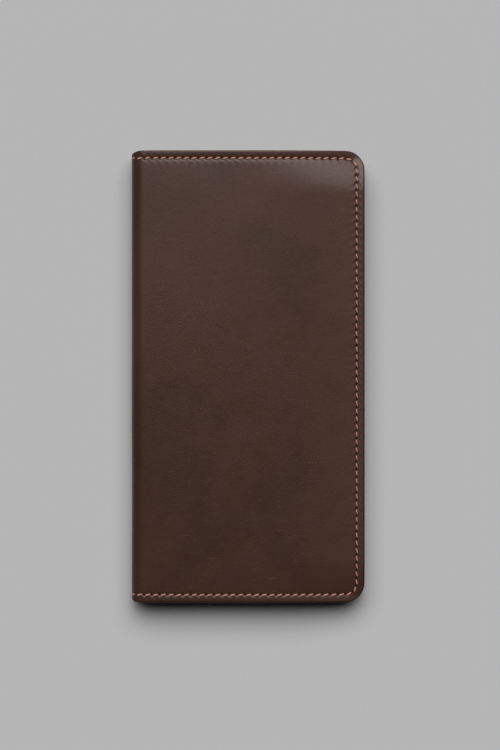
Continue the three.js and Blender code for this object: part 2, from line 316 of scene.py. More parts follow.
class SeamLine:
    """The line of the main seam, from the spine round head, opening edge and foot, back to the spine."""

    def __init__(self, corner_radius, pitch):
        self.corner = corner_radius
        self.turn = corner_radius - SEAM_INSET
        self.head = EDGE_X - corner_radius - JOIN_X
        self.arc = self.turn * math.pi / 2
        self.side = 2 * (HEAD_Y - corner_radius)
        self.length = 2 * self.head + 2 * self.arc + self.side
        self.count = round(self.length / pitch)
        self.pitch = self.length / self.count

    def along(self, x, y):
        """How far along the line the nearest point of the line to (x, y) is."""
        cx, cy = EDGE_X - self.corner, HEAD_Y - self.corner
        on_side = (EDGE_X - x) < (HEAD_Y - np.abs(y))
        s = np.where(y > 0, x - JOIN_X, self.length - (x - JOIN_X))
        s = np.where(on_side, self.head + self.arc + cy - y, s)
        in_corner = (x > cx) & (np.abs(y) > cy)
        angle = np.arctan2(np.abs(y) - cy, np.maximum(x - cx, 1e-9))
        head_turn = self.head + self.turn * (math.pi / 2 - angle)
        foot_turn = self.head + self.arc + self.side + self.turn * angle
        return np.where(in_corner, np.where(y > 0, head_turn, foot_turn), s)

    def offset(self, x, y):
        """How far in from the line (x, y) is."""
        return rim_distance(x, y, self.corner) - SEAM_INSET

    def point(self, s, offset):
        """The point that is s along the line and offset to its inner side."""
        cx, cy = EDGE_X - self.corner, HEAD_Y - self.corner
        ends = np.cumsum([self.head, self.arc, self.side, self.arc])
        reach = self.turn - offset
        a1 = math.pi / 2 - (s - ends[0]) / self.turn
        a2 = -(s - ends[2]) / self.turn
        line_y = HEAD_Y - SEAM_INSET - offset
        line_x = EDGE_X - SEAM_INSET - offset
        zones = [s < ends[0], s < ends[1], s < ends[2], s < ends[3]]
        x = np.select(
            zones, [JOIN_X + s, cx + reach * np.cos(a1), line_x, cx + reach * np.cos(a2)],
            JOIN_X + self.length - s,
        )
        y = np.select(
            zones, [line_y, cy + reach * np.sin(a1), cy - (s - ends[1]), -cy + reach * np.sin(a2)], -line_y,
        )
        return x, y


class StraightSeam:
    """A line of stitches along Y at one x."""

    def __init__(self, x, y0, y1, pitch):
        self.x, self.y1 = x, y1
        self.length = y1 - y0
        self.count = round(self.length / pitch)
        self.pitch = self.length / self.count

    def along(self, x, y):
        return self.y1 - y

    def offset(self, x, y):
        return self.x - x

    def point(self, s, offset):
        return self.x - offset, self.y1 - s


HOLE_TURN = math.radians(52)
HOLE_LENGTH, HOLE_WIDTH = 0.72 * MM, 0.46 * MM


def pricked(seam, x, y, slant):
    """How far into a stitch hole each point is, from 0 to 1. The holes are slots between the stitches."""
    s, offset = seam.along(x, y), seam.offset(x, y)
    past = ((s / seam.pitch + 0.5) % 1 - 0.5) * seam.pitch
    turn = math.copysign(HOLE_TURN, slant) - slant
    lengthwise = past * math.cos(turn) - offset * math.sin(turn)
    crosswise = past * math.sin(turn) + offset * math.cos(turn)
    inside = (s > -seam.pitch / 2) & (s < seam.length + seam.pitch / 2)
    return inside * np.exp(-((lengthwise / HOLE_LENGTH) ** 2) - (crosswise / HOLE_WIDTH) ** 2)


def pucker(seam, x, y):
    """Small swells beside the seam, between the holes, from -1 to 1."""
    beside = np.abs(seam.offset(x, y)) - 1.15 * MM
    return np.cos(2 * math.pi * seam.along(x, y) / seam.pitch) * bump(beside, 0.6 * MM)


# ---- Making meshes ----


def finished(name, mesh, material, sharp):
    """Puts a mesh in the scene, shaded smooth apart from edges that turn by more than sharp degrees."""
    mesh.polygons.foreach_set("use_smooth", np.ones(len(mesh.polygons), bool))
    mesh.set_sharp_from_angle(angle=math.radians(sharp))
    mesh.materials.append(material)
    made = bpy.data.objects.new(name, mesh)
    bpy.context.scene.collection.objects.link(made)
    return made


def make_object(name, points, faces, material, attributes):
    mesh = bpy.data.meshes.new(name)
    mesh.from_pydata(points.tolist(), [], faces)
    for key, values in attributes.items():
        kind = "FLOAT" if values.ndim == 1 else "FLOAT_VECTOR"
        stored = mesh.attributes.new(key, kind, "POINT")
        stored.data.foreach_set("value" if kind == "FLOAT" else "vector", values.astype(np.float32).ravel())
    cleaned = bmesh.new()
    cleaned.from_mesh(mesh)
    bmesh.ops.recalc_face_normals(cleaned, faces=cleaned.faces)
    cleaned.to_mesh(mesh)
    cleaned.free()
    return finished(name, mesh, material, 38)


# Insets, in millimetres, of the rings over a sheet's outer face. They are closest where the seam runs.
SEAM_RINGS = [6.8, 5.6, 4.8, 4.3, 3.95, 3.7, 3.45, 3.2, 3.0, 2.8, 2.55, 2.3, 2.0, 1.6, 1.2, 0.85]
PLAIN_RINGS = [4.0, 2.6, 1.6, 1.0, 0.7]
NARROW_RINGS = [2.0, 1.6, 1.2, 0.8, 0.5]
POCKET_RINGS = [3.9, 3.4, 3.0, 2.6, 2.1, 1.7, 1.45, 1.2, 0.9, 0.6]
TAPE_RINGS = [2.6, 2.1, 1.6, 1.2, 0.9, 0.5]
GRID_INSET = 0.9 * MM  # from the innermost ring to the plain grid inside it


def edge_profile(rings_mm, rounding, thick, steps=4):
    """(inset, level) of each ring, over the outer face, round the edge and under.

    Level is 0 on the outer face and 1 on the inner one.
    """
    outer = [(r * MM, 0.0) for r in rings_mm if r * MM > rounding * 1.15]
    turn = [i / steps * math.pi / 2 for i in range(steps + 1)]
    down = [(rounding * (1 - math.sin(a)), rounding / thick * (1 - math.cos(a))) for a in turn]
    under = [(inset, 1 - level) for inset, level in reversed(down)]
    back = [(r * MM, 1.0) for r in (rings_mm[-1], rings_mm[len(rings_mm) // 2], rings_mm[0])]
    return outer + down + under + [b for b in back if b[0] > rounding * 1.15]


def sheet(name, outline, profile, place, marks, material):
    """A closed sheet. place(x, y, inset, level) gives its points, and marks gives its attributes."""
    rings = [outline.ring(inset) for inset, _ in profile]
    count = len(rings[0])
    inside = profile[0][0] + GRID_INSET
    grids = [outline.grid(inside), outline.grid(profile[-1][0] + GRID_INSET)]
    flat = np.vstack(rings + grids)
    cells = len(grids[0])
    inset = np.concatenate([np.full(count, i) for i, _ in profile] + [np.full(2 * cells, inside)])
    level = np.concatenate([np.full(count, k) for _, k in profile] + [np.zeros(cells), np.ones(cells)])
    first = len(profile) * count
    faces = outline.grid_faces(first) + outline.grid_faces(first + cells)
    faces += outline.joining_faces(0, first)
    faces += outline.joining_faces((len(profile) - 1) * count, first + cells)
    here = np.arange(count)
    there = np.roll(here, -1)
    for k in range(len(profile) - 1):
        a, b = k * count, (k + 1) * count
        faces += np.column_stack((a + here, b + here, b + there, a + there)).tolist()
    x, y = flat[:, 0], flat[:, 1]
    points = place(x, y, inset, level)
    return make_object(name, points, faces, material, marks(x, y, inset, level))


def tubes(name, centres, normals, radii, material, sides, lobes, twist):
    """A closed lobed tube round each line of centres, turned by twist from end to end.

    Centres and normals are lines by points by 3, and radii are lines by points.
    """
    lines, steps = centres.shape[:2]
    ahead = np.gradient(centres, axis=1)
    ahead /= np.linalg.norm(ahead, axis=2, keepdims=True)
    across = np.cross(ahead, normals)
    across /= np.linalg.norm(across, axis=2, keepdims=True)
    up = np.cross(across, ahead)
    angle = np.linspace(0, 2 * math.pi, sides, endpoint=False)
    run = np.linspace(0, 1, steps)[:, None]
    ply = 0.95 + 0.11 * np.abs(np.cos(lobes / 2 * (angle[None] - twist * run)))
    reach = (radii[:, :, None] * ply)[..., None]
    ring = across[:, :, None] * np.cos(angle)[:, None] + up[:, :, None] * np.sin(angle)[:, None]
    points = (centres[:, :, None] + ring * reach).reshape(-1, 3)
    at = np.arange(lines * steps * sides).reshape(lines, steps, sides)
    turned = np.roll(at, -1, axis=2)
    quads = np.stack((at[:, :-1], turned[:, :-1], turned[:, 1:], at[:, 1:]), axis=-1).reshape(-1, 4).tolist()
    caps = at[:, 0, ::-1].tolist() + at[:, -1].tolist()
    tip = np.broadcast_to(np.abs(np.linspace(-1, 1, steps))[None, :, None], (lines, steps, sides))
    return make_object(name, points, quads + caps, material, {"tip": tip.ravel()})


def stitches(name, seam, surface, settings, material, first=0, last=None, slant=None, pulled=None):
    """Separate stitches along a seam.

    surface(x, y, rise) gives the point that is rise above the leather, and pulled(x, y) says how hard the
    thread is pulled into it, from 0 to 1.
    """
    steps = 13
    slant = settings.slant if slant is None else slant
    last = seam.count if last is None else last
    t = np.linspace(-1, 1, steps)
    middle = (np.arange(first, last) + 0.5) * seam.pitch
    wobble = np.random.default_rng(11).normal(0, 0.035, (len(middle), 3))
    half = seam.pitch * 0.35
    s = middle[:, None] + t[None] * half + wobble[:, :1] * MM
    offset = t[None] * half * np.tan(slant * (1 + wobble[:, 1:2] * 3)) + wobble[:, 2:] * MM
    x, y = seam.point(s, offset)
    tight = np.zeros_like(s) if pulled is None else pulled(x, y)
    arch = np.sqrt(1 - np.abs(t) ** 3.2)
    rise = (arch * 0.62 - 0.42 - 0.15 * tight) * MM
    centres = surface(x, y, rise)
    normals = surface(x, y, rise + 0.1 * MM) - centres
    normals /= np.linalg.norm(normals, axis=2, keepdims=True)
    taper = 0.62 + 0.38 * np.sqrt(1 - np.abs(t) ** 6)
    radii = settings.thread / 2 * taper * (1 - 0.34 * tight)
    return tubes(name, centres, normals, radii, material, 12, settings.plies, math.radians(150))


def bevelled(name, shells, material, width, segments=2):
    """One object from closed shells, each (points, faces), with every hard edge rounded."""
    work = bmesh.new()
    for points, faces in shells:
        made = [work.verts.new(p) for p in points]
        for face in faces:
            work.faces.new([made[i] for i in face])
    bmesh.ops.recalc_face_normals(work, faces=work.faces)
    hard = [e for e in work.edges if e.calc_face_angle(0) > math.radians(30)]
    bmesh.ops.bevel(
        work, geom=hard, offset=width, segments=segments, profile=0.5, affect="EDGES", clamp_overlap=True,
    )
    mesh = bpy.data.meshes.new(name)
    work.to_mesh(mesh)
    work.free()
    return finished(name, mesh, material, 40)


def prism(outline, z0, z1):
    """A closed shell: a flat outline, as (x, y) points, from z0 up to z1."""
    n = len(outline)
    points = [(x, y, z0) for x, y in outline] + [(x, y, z1) for x, y in outline]
    sides = [(i, (i + 1) % n, n + (i + 1) % n, n + i) for i in range(n)]
    return points, [tuple(range(n))[::-1], tuple(range(n, 2 * n))] + sides


def holed_prism(outer, inner, z0, z1):
    """As prism, with a hole. Both outlines have the same number of points."""
    n = len(outer)
    points = [(x, y, z) for z in (z0, z1) for ring in (outer, inner) for x, y in ring]
    faces = []
    for i in range(n):
        j = (i + 1) % n
        faces.append((i, n + i, n + j, j))
        faces.append((2 * n + i, 2 * n + j, 3 * n + j, 3 * n + i))
        faces.append((i, j, 2 * n + j, 2 * n + i))
        faces.append((n + i, 3 * n + i, 3 * n + j, n + j))
    return points, faces


def box_shell(x0, x1, y0, y1, z0, z1):
    return prism([(x0, y0), (x1, y0), (x1, y1), (x0, y1)], z0, z1)


# ---- The two halves: where each layer lies ----


def hang(x, y, domed):
    """How a cover sags, as a share of the sag at its opening edge.

    The opening edge falls away slowly and the two corners more sharply. Where domed, the length of the wallet
    is slightly domed by the spine and slightly hollow by the opening edge.
    """
    from_edge, from_end = EDGE_X - SEAM_INSET - x, HEAD_Y - SEAM_INSET - np.abs(y)
    opening = falling(from_edge / (46 * MM))
    corner = 1.2 * falling(from_edge / (54 * MM)) * falling(from_end / (15 * MM))
    ends = (0.03 if domed else 0.42) * falling(from_end / (12 * MM))
    dome = 0.4 * domed * (y / HEAD_Y) ** 2 * (1 - 1.6 * smooth((x + 15 * MM) / (55 * MM)))
    beside_spine = 0.22 * smooth((BEND_X + 8 * MM - x) / (11 * MM))
    return opening + corner + ends + dome + beside_spine


def fullness(x, y, start, across, along):
    """0 in the sewn margin, rising to 1 over the given widths inside it."""
    fall_x = falling((EDGE_X - x - start) / across)
    fall_y = falling((HEAD_Y - np.abs(y) - start) / along)
    return (1 - fall_x) * (1 - fall_y)


def ripple(x, y, seed):
    """Slow unevenness of a hand-made sheet, from -1 to 1."""
    a, b = x / MM, y / MM
    slow = np.sin(a / 13 + b / 29 + seed) + np.sin(b / 17 - a / 23 + 2.1 * seed)
    return (slow + np.sin((a + b) / 9.5 + 4 * seed)) / 3


class Half:
    """One half of the wallet. The front half is the back half's mirror, upside down on top of it."""

    def __init__(self, leather, front):
        self.front = front
        self.side = "front" if front else "back"
        self.body = self.side + "_half"
        self.sag = leather.droop if front else leather.lift

    def turned(self, x, y, height):
        """Points at a height in from the outer plane of this half."""
        return np.stack((x, y, THICKNESS - height if self.front else height), axis=-1)

    def world(self, x, y, height):
        """Points at a height above the outer face of this half's cover, which hangs or curls at its edges."""
        return self.turned(x, y, height + self.sag * hang(x, y, self.front))

    def strip(self, x, y, depth):
        """Points of the flat cover strip, at a depth below its outer face, once it turns up the spine."""
        past = np.clip(BEND_X - x, 0, None)
        turn = np.clip(past / BEND_MIDDLE, 0, math.pi / 2)
        radius = BEND - depth
        across = np.where(past > 0, BEND_X - radius * np.sin(turn), x)
        height = BEND - radius * np.cos(turn) + np.clip(past - BEND_LENGTH, 0, None)
        low = smooth(1 - height / (THICKNESS / 2))
        return self.turned(across, y, height + self.sag * hang(x, y, self.front) * np.where(past > 0, low, 1))


SPINE_MARGIN = 2.4 * MM  # the stretch that is drawn in where the strip turns up the shorter spine


def trim(x, y):
    """y with the margin drawn in where the strip turns up the shorter spine. The foot is cut squarer."""
    turn = np.clip((BEND_X - x) / BEND_MIDDLE, 0, math.pi / 2)
    ease = (1 - np.cos(turn)) ** np.where(y > 0, 1.0, 2.0)
    margin = np.clip((np.abs(y) - (HEAD_Y - SPINE_MARGIN)) / SPINE_MARGIN, 0, 1)
    return y - np.sign(y) * SPINE_TRIM * ease * margin


def flat_marks(x, y, layer, front, edge=0.0, hole=0.0, crease=0.0):
    """What the materials read: the place on the flat hide, how near an edge or hole it is, and a mark that is
    painted shade beside the spine on the covers and a pressed line on the panels.
    """
    across = 2 * JOIN_X - x if front else x
    marks = {"flat": np.stack((across, y, np.full(len(x), layer * 40 * MM)), axis=-1)}
    for key, values in (("edge", edge), ("pricked", hole), ("crease", crease)):
        marks[key] = np.broadcast_to(values, x.shape)
    return marks


SPINE_SHARE = 0.12  # how much of an inset the strip's spine end takes


def strip_outline(inset, leather, spacing, fine):
    """The half strip laid flat, with closer stops where it turns up the spine."""
    x0, x1, level_x = JOIN_X, EDGE_X - inset, BEND_X + 8 * MM
    near = np.arange(x0, level_x, 0.75 * MM)
    rest = np.linspace(level_x, x1, round((x1 - level_x) / spacing) + 1)
    stops = np.concatenate((near[:-1], rest))
    radius = leather.corner_radius - inset
    return Outline(
        (x0, -HEAD_Y + inset), (x1, HEAD_Y - inset), (SQUARE_CORNER, radius, radius, SQUARE_CORNER),
        spacing, fine, shares=(1, 1, 1, SPINE_SHARE), stops_x=(stops - x0) / (x1 - x0),
    )


def to_join(x, inset, rounding):
    """x with the spine end of a half strip cut square, where the other half's strip carries on."""
    at_join = (x < JOIN_X + SPINE_SHARE * inset + 1e-7) & (inset <= rounding * 1.001)
    return np.where(at_join, JOIN_X, x)


def leather_edge(distance, level):
    """How burnished a point is: fully on the cut edge, fading over the face beside it."""
    return np.clip(bump(distance, 0.75 * MM) + (level > 0.02) * (level < 0.98), 0, 1)


# ---- Materials ----


class Nodes:
    """Short forms for wiring a material."""

    def __init__(self, name):
        self.material = bpy.data.materials.new(name)
        self.material.use_nodes = True
        self.tree = self.material.node_tree
        self.shader = self.tree.nodes["Principled BSDF"]

    def add(self, kind, **settings):
        node = self.tree.nodes.new("ShaderNode" + kind)
        for key, value in settings.items():
            setattr(node, key, value)
        return node

    def link(self, source, target):
        self.tree.links.new(source, target)

    def put(self, socket, value):
        if isinstance(value, bpy.types.NodeSocket):
            self.link(value, socket)
        elif isinstance(value, (tuple, list)) and len(value) == 3 and socket.type == "RGBA":
            socket.default_value = (*value, 1)
        else:
            socket.default_value = value

    def attribute(self, name, output="Fac"):
        return self.add("Attribute", attribute_name=name).outputs[output]

    def scaled(self, vector, scale, rotation=(0, 0, 0), moved=0.0):
        node = self.add("Mapping")
        self.link(vector, node.inputs["Vector"])
        node.inputs["Scale"].default_value = scale if isinstance(scale, tuple) else (scale,) * 3
        node.inputs["Rotation"].default_value = rotation
        node.inputs["Location"].default_value = (moved,) * 3
        return node.outputs[0]

    def parts(self, vector):
        node = self.add("SeparateXYZ")
        self.link(vector, node.inputs[0])
        return node.outputs

    def noise(self, vector, scale, detail=2, roughness=0.5, distortion=0.0):
        node = self.add("TexNoise")
        self.link(vector, node.inputs["Vector"])
        names = ("Scale", "Detail", "Roughness", "Distortion")
        for name, value in zip(names, (scale, detail, roughness, distortion)):
            self.put(node.inputs[name], value)
        return node.outputs["Fac"]

    def voronoi(self, vector, scale, feature="F1"):
        node = self.add("TexVoronoi", feature=feature)
        self.link(vector, node.inputs["Vector"])
        self.put(node.inputs["Scale"], scale)
        return node.outputs["Distance"]

    def range(self, value, low, high, to_low=0.0, to_high=1.0):
        node = self.add("MapRange")
        self.put(node.inputs[0], value)
        for socket, number in zip(node.inputs[1:5], (low, high, to_low, to_high)):
            self.put(socket, number)
        return node.outputs[0]

    def math(self, operation, a, b=0.0):
        node = self.add("Math", operation=operation)
        self.put(node.inputs[0], a)
        self.put(node.inputs[1], b)
        return node.outputs[0]

    def times(self, a, b):
        return self.math("MULTIPLY", a, b)

    def plus(self, a, b):
        return self.math("ADD", a, b)

    def mix(self, factor, a, b):
        node = self.add("Mix", data_type="RGBA")
        self.put(node.inputs[0], factor)
        self.put(node.inputs[6], a)
        self.put(node.inputs[7], b)
        return node.outputs[2]

    def bump(self, height, distance, strength, normal=None):
        node = self.add("Bump")
        self.put(node.inputs["Strength"], strength)
        self.put(node.inputs["Distance"], distance)
        self.link(height, node.inputs["Height"])
        if normal is not None:
            self.link(normal, node.inputs["Normal"])
        return node.outputs[0]

    def finish(self, color, roughness, normal=None, metallic=0.0, **fixed):
        self.put(self.shader.inputs["Base Color"], color)
        self.put(self.shader.inputs["Roughness"], roughness)
        self.put(self.shader.inputs["Metallic"], metallic)
        if normal is not None:
            self.link(normal, self.shader.inputs["Normal"])
        for name, value in fixed.items():
            self.shader.inputs[name.replace("_", " ")].default_value = value
        return self.material


def shade(tone, factor, red=1.0, blue=1.0):
    return (tone[0] * factor * red, tone[1] * factor, tone[2] * factor * blue)


def leather_material(name, tone, wax, grain):
    """Waxed leather: cloudy tone, fine grain, a few light scratches and specks, dark edges, painted shade in
    the stitch holes, beside the spine and towards the foot, and painted light towards the opening edge.
    """
    n = Nodes(name)
    hide = n.scaled(n.attribute("flat", "Vector"), 1000)
    place = n.parts(hide)
    clouds = n.noise(hide, 0.022, 3, 0.55, 0.6)
    blotches = n.noise(hide, 0.11, 4, 0.6, 0.4)
    fine = n.noise(hide, 1.1, 3, 0.6)
    cool, warm = shade(tone, 0.9, red=0.93, blue=0.92), shade(tone, 1.12, red=1.05)
    color = n.mix(n.range(clouds, 0.35, 0.65), cool, warm)
    color = n.mix(n.range(blotches, 0.3, 0.7, 0.0, 0.35), color, shade(tone, 1.25, blue=1.12))
    color = n.mix(n.range(fine, 0.35, 0.7, 0.0, 0.16), color, shade(tone, 0.55))

    # Painted shade and painted light: the hide is painted darker towards the foot and paler towards the
    # opening edge, standing in for how the soft light falls across the cover.
    color = n.mix(n.range(place[1], 40, -70, 0.0, 0.16), color, shade(tone, 0.2))
    from_join = n.math("ABSOLUTE", n.math("SUBTRACT", place[0], JOIN_X / MM))
    color = n.mix(n.range(from_join, 76, 98, 0.0, 0.22), color, shade(tone, 1.9))

    # Pull-up scratches: long thin streaks in three directions, kept where a slower noise lets them through.
    marks = None
    for angle, seed in ((0.5, 3.0), (-0.75, 17.0), (1.35, 41.0)):
        streak = n.scaled(hide, (0.055, 1.9, 1.0), (0, 0, angle), seed)
        line = n.range(n.noise(streak, 1.0, 1.0, 0.4), 0.735, 0.78)
        kept = n.range(n.noise(hide, 0.05 + 0.003 * seed, 1.0), 0.52, 0.6)
        streaks = n.times(line, kept)
        marks = streaks if marks is None else n.math("MAXIMUM", marks, streaks)
    color = n.mix(n.times(marks, 0.55), color, shade(tone, 2.3, red=1.05))
    speck = n.range(n.voronoi(hide, 0.16), 0.05, 0.02)
    color = n.mix(n.times(speck, 0.45), color, shade(tone, 2.1))

    crease, edge, hole = n.attribute("crease"), n.attribute("edge"), n.attribute("pricked")
    # Painted shade: the covers are darkened beside the spine, where the upright spine lies in shade; the
    # panels' pressed lines are darkened by the same mark.
    color = n.mix(n.times(crease, 0.7), color, shade(tone, 0.42))
    color = n.mix(n.times(edge, 0.85), color, shade(tone, 0.3, red=0.9))
    # Painted shade in the stitch holes: they are coloured a near-black red.
    color = n.mix(n.range(hole, 0.12, 0.75), color, (0.02, 0.0035, 0.0022))

    pores = n.range(n.voronoi(hide, grain, "DISTANCE_TO_EDGE"), 0.0, 0.22)
    skin = n.noise(hide, grain * 2.4, 3, 0.65)
    normal = n.bump(n.plus(pores, n.times(skin, 0.9)), 0.00006, 0.32)
    normal = n.bump(n.noise(hide, 0.35, 3, 0.6), 0.00035, 0.18, normal)
    normal = n.bump(n.times(marks, -1.0), 0.00004, 0.5, normal)

    rough = n.range(blotches, 0.3, 0.7, wax - 0.05, wax + 0.06)
    for mark, rougher in ((edge, 0.12), (hole, 0.3), (crease, 0.4)):
        rough = n.plus(rough, n.times(mark, rougher))
    return n.finish(
        color, rough, normal, Specular_IOR_Level=0.15, Specular_Tint=(1.0, 0.7, 0.65, 1.0),
        Coat_Weight=0.27, Coat_Roughness=0.23,
    )


def thread_material(name, tone):
    """Waxed twisted thread: fibres along it, with painted shade where it dives into the holes."""
    n = Nodes(name)
    place = n.scaled(n.add("TexCoord").outputs["Object"], 1000)
    fibre = n.noise(place, 7.0, 3, 0.7)
    worn = n.noise(place, 0.12, 2)
    color = n.mix(n.range(fibre, 0.3, 0.7), shade(tone, 0.72, red=1.06), shade(tone, 1.22))
    color = n.mix(n.range(worn, 0.4, 0.65, 0, 0.35), color, shade(tone, 0.8, red=0.95, blue=0.85))
    # Painted shade: the ends of each stitch, where it dives into its hole, are darkened.
    color = n.mix(n.range(n.attribute("tip"), 0.35, 0.95, 0.0, 0.9), color, shade(tone, 0.16, blue=0.7))
    rough = n.range(fibre, 0.3, 0.7, 0.42, 0.6)
    return n.finish(color, rough, n.bump(fibre, 0.00005, 0.5), Sheen_Weight=0.15, Sheen_Roughness=0.5)


def weave_material(name, tone, threads, step, repeat):
    """Woven cloth, with threads per millimetre. The over and under pattern steps on by step, and repeats."""
    n = Nodes(name)
    cloth = n.scaled(n.attribute("flat", "Vector"), 1000)
    across, along = (n.times(part, threads) for part in n.parts(cloth)[:2])
    warp, weft = (n.math("ABSOLUTE", n.math("SINE", n.times(count, math.pi))) for count in (across, along))
    stepped = n.plus(n.times(n.math("FLOOR", across), step), n.math("FLOOR", along))
    over = n.math("LESS_THAN", n.math("FLOORED_MODULO", stepped, repeat), 1.0)
    height = n.plus(n.times(warp, over), n.times(weft, n.math("SUBTRACT", 1.0, over)))
    dust = n.noise(cloth, 0.3, 4, 0.7)
    # Painted shade: the cloth is darker where the weave lies low, between the raised threads.
    color = n.mix(n.range(height, 0.1, 0.95), shade(tone, 0.35), shade(tone, 1.5))
    color = n.mix(n.range(dust, 0.35, 0.75, 0, 0.4), color, shade(tone, 1.9, blue=1.1))
    return n.finish(color, 0.85, n.bump(height, 0.00012, 0.8), Sheen_Weight=0.25, Sheen_Roughness=0.4)


def metal_material(name, tone):
    """Antique brass: darker in slow stains, and duller there than where it is handled."""
    n = Nodes(name)
    place = n.scaled(n.add("TexCoord").outputs["Object"], 1000)
    stain = n.noise(place, 0.5, 4, 0.65)
    fine = n.noise(place, 6.0, 3, 0.6)
    color = n.mix(n.range(stain, 0.35, 0.7), shade(tone, 0.45, red=0.95), tone)
    color = n.mix(n.range(fine, 0.45, 0.8, 0, 0.5), color, shade(tone, 1.35, blue=1.2))
    return n.finish(color, n.range(stain, 0.3, 0.7, 0.42, 0.24), n.bump(fine, 0.00003, 0.35), metallic=1.0)


def finishes(scene):
    """All the materials, made once and then found by name."""
    leather, seam, zipper = scene.wallet_leather, scene.wallet_seam, scene.wallet_zip
    makers = {
        "cover_leather": ("waxed_leather", leather_material, leather.cover_tone, 0.31, 1.25),
        "inner_leather": ("panel_leather", leather_material, leather.inner_tone, 0.4, 1.6),
        "lining_cloth": ("lining_weave", weave_material, leather.cloth_tone, 2.2, 1.0, 3.0),
        "zip_tape": ("tape_weave", weave_material, zipper.tape_tone, 1.7, 0.5, 2.0),
        "seam_thread": ("waxed_thread", thread_material, seam.tone),
        "zip_metal": ("antique_brass", metal_material, zipper.metal_tone),
    }
    made = {}
    for slot, (name, make, tone, *rest) in makers.items():
        made[slot] = bpy.data.materials.get(name) or make(name, tuple(tone), *rest)
    return made


class Bench:
    """What most pieces are made from: the settings, the main seam, the two halves and the finishes."""

    def __init__(self, scene):
        self.leather, self.sewing = scene.wallet_leather, scene.wallet_seam
        self.seam = SeamLine(self.leather.corner_radius, self.sewing.pitch)
        self.back, self.front = (Half(self.leather, front) for front in (False, True))
        self.finish = finishes(scene)


def settle(piece, slot, body, *nodes):
    """Rides a rigid piece on its body and hides the CAD nodes named, which it stands for."""
    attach(piece, body)
    if nodes:
        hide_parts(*nodes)


def bend_piece(piece, slot, front, *nodes):
    """For a piece that runs from one half up the spine: bakes its place into its mesh and hides the CAD nodes
    named.
    """
    if front:
        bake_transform(piece)
    else:
        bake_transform(piece)
    if nodes:
        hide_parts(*nodes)


# ---- Heights of the inner layers, above a half's own outer face ----

LINING_THICK = 0.4 * MM
POCKET_THICK = 0.7 * MM
SLIP_THICK = PAGE_THICK * 0.9
LAYER_GAP = 0.05 * MM
SEWN_LINING = COVER_THICK + 0.04 * MM
SEWN_PAGE = SEWN_LINING + LINING_THICK + LAYER_GAP
COIN_PANEL_BASE = COIN_PANEL[1].z - PAGE_THICK


def page_full(x, y):
    """How freely an inner page lies, from 0 at its sewn margin to 1."""
    return fullness(x, y, 3.5 * MM, 10 * MM, 10 * MM)


def coin_full(x, y):
    """The same for the leather over the coin pocket."""
    return fullness(x, y, 3.4 * MM, 17 * MM, 7 * MM)


def page_base(x, y):
    """Underside of the inner page: pressed down at the sewn margin, loose inside it."""
    return SEWN_PAGE + (COIN_PAGE[0].z - SEWN_PAGE) * page_full(x, y)


def page_top(x, y):
    return page_base(x, y) + PAGE_THICK


def coin_panel_base(x, y, raised=1.0):
    """Underside of the panel over the coin pocket, which the zip holds up."""
    low = page_top(x, y) + LAYER_GAP
    return low + (COIN_PANEL_BASE - low) * coin_full(x, y) * raised


STRIP_RISE_X, STRIP_LEVEL_X = PAGE_X + 1.2 * MM, PAGE_X + 4.2 * MM


def strip_base(x, y):
    """Underside of the strip beside the spine: sewn down along its free edge, and rising to the zip."""
    return coin_panel_base(x, y, smooth((x - STRIP_RISE_X) / (STRIP_LEVEL_X - STRIP_RISE_X)))


def slip_base(x, y):
    return coin_panel_base(x, y) + PAGE_THICK + 0.06 * MM


TAPE_THICK = TAPE[1].z - TAPE[0].z


def tape_base(x, y):
    """Underside of the zip tapes: level along the chain, down to the page at the head and foot."""
    low = page_top(x, y) + 0.03 * MM
    full = fullness(x, y, 3.2 * MM, 17 * MM, 5.5 * MM)
    return low + (TAPE[0].z - low) * full


def back_inner_top(x, y):
    """The exposed inner surface of the back half, where the main seam comes through."""
    return np.select(
        [x < PAGE_X, x < STRIP[1].x, x < COIN_PANEL[0].x, x < SLIP[0].x],
        [
            SEWN_LINING + LINING_THICK, strip_base(x, y) + PAGE_THICK, tape_base(x, y) + TAPE_THICK,
            coin_panel_base(x, y) + PAGE_THICK,
        ],
        slip_base(x, y) + SLIP_THICK,
    )


MOUTHS = [high.y for _, high in POCKETS]
TILE_RUN = MOUTHS[0] - POCKETS[0][0].y
TILE_LOW = THICKNESS - POCKETS[0][1].z - COIN_PAGE[1].z - LAYER_GAP
TILE_RISE = POCKETS[0][1].z - POCKETS[0][0].z - POCKET_THICK


def pressed(x):
    """How much of a card pocket's height is left, towards the two sides where the pockets are sewn down."""
    sides = np.minimum(EDGE_X - x, x - PAGE_X + 1.8 * MM)
    return 0.4 + 0.6 * smooth((sides - 3.5 * MM) / (11 * MM))


def pocket_base(x, y, index):
    """Underside of a card pocket, which lies on the pockets below it like a roof tile."""
    along = np.clip((y - (MOUTHS[index] - TILE_RUN)) / TILE_RUN, 0, 1)
    lifted = TILE_LOW * page_full(x, y) + TILE_RISE * along
    return page_top(x, y) + LAYER_GAP + lifted * pressed(x)


def front_inner_top(x, y):
    """The exposed inner surface of the front half."""
    height = np.where(x < PAGE_X, SEWN_LINING + LINING_THICK, page_top(x, y))
    for index, mouth in enumerate(MOUTHS):
        tile = pocket_base(x, y, index) + POCKET_THICK * pressed(x)
        height = np.where((y <= mouth) & (x >= PAGE_X), tile, height)
    return height


# ---- Pieces ----


